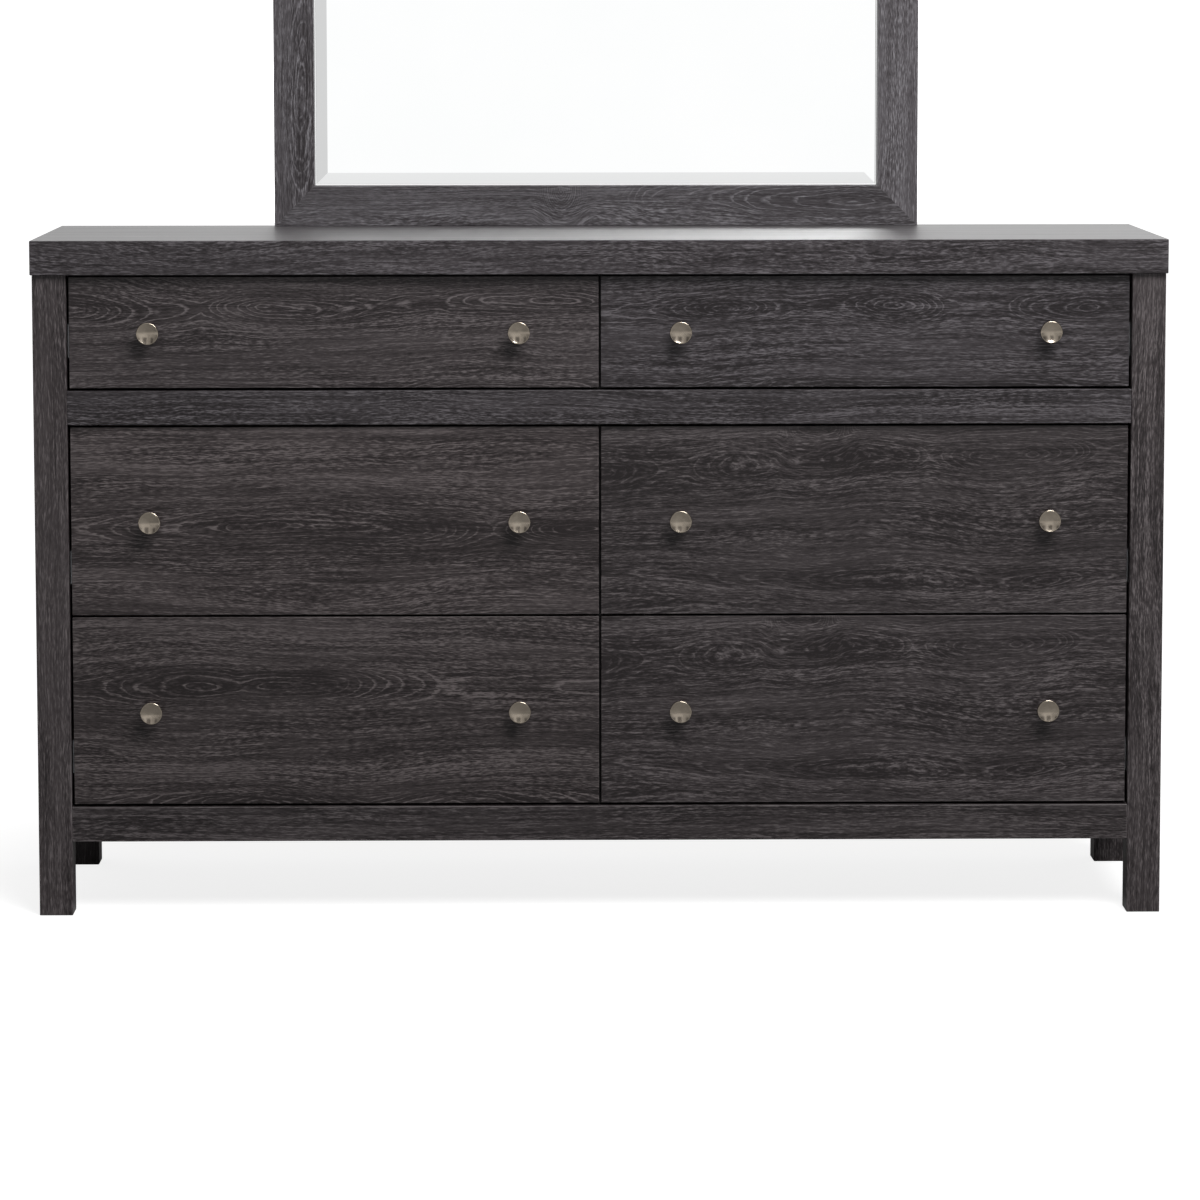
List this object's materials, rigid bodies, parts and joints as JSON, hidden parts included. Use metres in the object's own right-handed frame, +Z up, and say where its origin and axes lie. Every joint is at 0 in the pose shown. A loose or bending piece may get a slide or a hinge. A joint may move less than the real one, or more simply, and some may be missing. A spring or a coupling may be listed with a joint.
{
  "type": "dresser with mirror",
  "caption": "Low wide dresser with sliding drawers side by side, dished metal knobs, square post legs and a framed bevelled mirror standing on its top.",
  "frame": {"origin": "on the floor, in the middle of the whole object's footprint", "axes": "+X to the right seen from the front, +Y to the back, +Z up; the drawers open towards -Y"},
  "size_m": [1.524, 0.4614, 1.88],
  "materials": {
    "charcoal_oak": "satin laminate",
    "case_board": "matt laminate",
    "hardboard": "matt",
    "drawer_wood": "clear satin",
    "drawer_bottom": "satin",
    "slide_steel": "zinc plated",
    "screw_steel": "zinc plated",
    "knob_nickel": "satin nickel",
    "mirror_glass": "silvered"
  },
  "bodies": {
    "case": {"top_panel": "charcoal_oak", "front_left_post": "charcoal_oak", "front_right_post": "charcoal_oak", "rear_left_post": "charcoal_oak", "rear_right_post": "charcoal_oak", "left_side_panel": "charcoal_oak", "right_side_panel": "charcoal_oak", "center_divider": "case_board", "bottom_panel": "case_board", "back_panel": "hardboard", "middle_front_rail": "charcoal_oak", "bottom_front_rail": "charcoal_oak", "rear_rails": "case_board", "top_stretchers": "case_board", "slide_channels": "slide_steel", "case_screws": "screw_steel", "mirror_left_stile": "charcoal_oak", "mirror_right_stile": "charcoal_oak", "mirror_top_rail": "charcoal_oak", "mirror_bottom_rail": "charcoal_oak", "mirror_glass": "mirror_glass", "mirror_backing": "hardboard", "mirror_left_support": "case_board", "mirror_right_support": "case_board"},
    "upper_left_drawer": {"upper_left_drawer_front": "charcoal_oak", "upper_left_drawer_sides": "drawer_wood", "upper_left_drawer_back": "drawer_wood", "upper_left_drawer_bottom": "drawer_bottom", "upper_left_drawer_knobs": "knob_nickel", "upper_left_drawer_slide_rails": "slide_steel"},
    "upper_right_drawer": {"upper_right_drawer_front": "charcoal_oak", "upper_right_drawer_sides": "drawer_wood", "upper_right_drawer_back": "drawer_wood", "upper_right_drawer_bottom": "drawer_bottom", "upper_right_drawer_knobs": "knob_nickel", "upper_right_drawer_slide_rails": "slide_steel"},
    "middle_left_drawer": {"middle_left_drawer_front": "charcoal_oak", "middle_left_drawer_sides": "drawer_wood", "middle_left_drawer_back": "drawer_wood", "middle_left_drawer_bottom": "drawer_bottom", "middle_left_drawer_knobs": "knob_nickel", "middle_left_drawer_slide_rails": "slide_steel"},
    "middle_right_drawer": {"middle_right_drawer_front": "charcoal_oak", "middle_right_drawer_sides": "drawer_wood", "middle_right_drawer_back": "drawer_wood", "middle_right_drawer_bottom": "drawer_bottom", "middle_right_drawer_knobs": "knob_nickel", "middle_right_drawer_slide_rails": "slide_steel"},
    "lower_left_drawer": {"lower_left_drawer_front": "charcoal_oak", "lower_left_drawer_sides": "drawer_wood", "lower_left_drawer_back": "drawer_wood", "lower_left_drawer_bottom": "drawer_bottom", "lower_left_drawer_knobs": "knob_nickel", "lower_left_drawer_slide_rails": "slide_steel"},
    "lower_right_drawer": {"lower_right_drawer_front": "charcoal_oak", "lower_right_drawer_sides": "drawer_wood", "lower_right_drawer_back": "drawer_wood", "lower_right_drawer_bottom": "drawer_bottom", "lower_right_drawer_knobs": "knob_nickel", "lower_right_drawer_slide_rails": "slide_steel"}
  },
  "joints": [
    {"name": "upper_left_drawer_slide", "type": "slide", "parent": "case", "child": "upper_left_drawer", "axis": [0, -1, 0], "range_m": [0, 0.27]},
    {"name": "upper_right_drawer_slide", "type": "slide", "parent": "case", "child": "upper_right_drawer", "axis": [0, -1, 0], "range_m": [0, 0.27]},
    {"name": "middle_left_drawer_slide", "type": "slide", "parent": "case", "child": "middle_left_drawer", "axis": [0, -1, 0], "range_m": [0, 0.27]},
    {"name": "middle_right_drawer_slide", "type": "slide", "parent": "case", "child": "middle_right_drawer", "axis": [0, -1, 0], "range_m": [0, 0.27]},
    {"name": "lower_left_drawer_slide", "type": "slide", "parent": "case", "child": "lower_left_drawer", "axis": [0, -1, 0], "range_m": [0, 0.27]},
    {"name": "lower_right_drawer_slide", "type": "slide", "parent": "case", "child": "lower_right_drawer", "axis": [0, -1, 0], "range_m": [0, 0.27]}
  ]
}
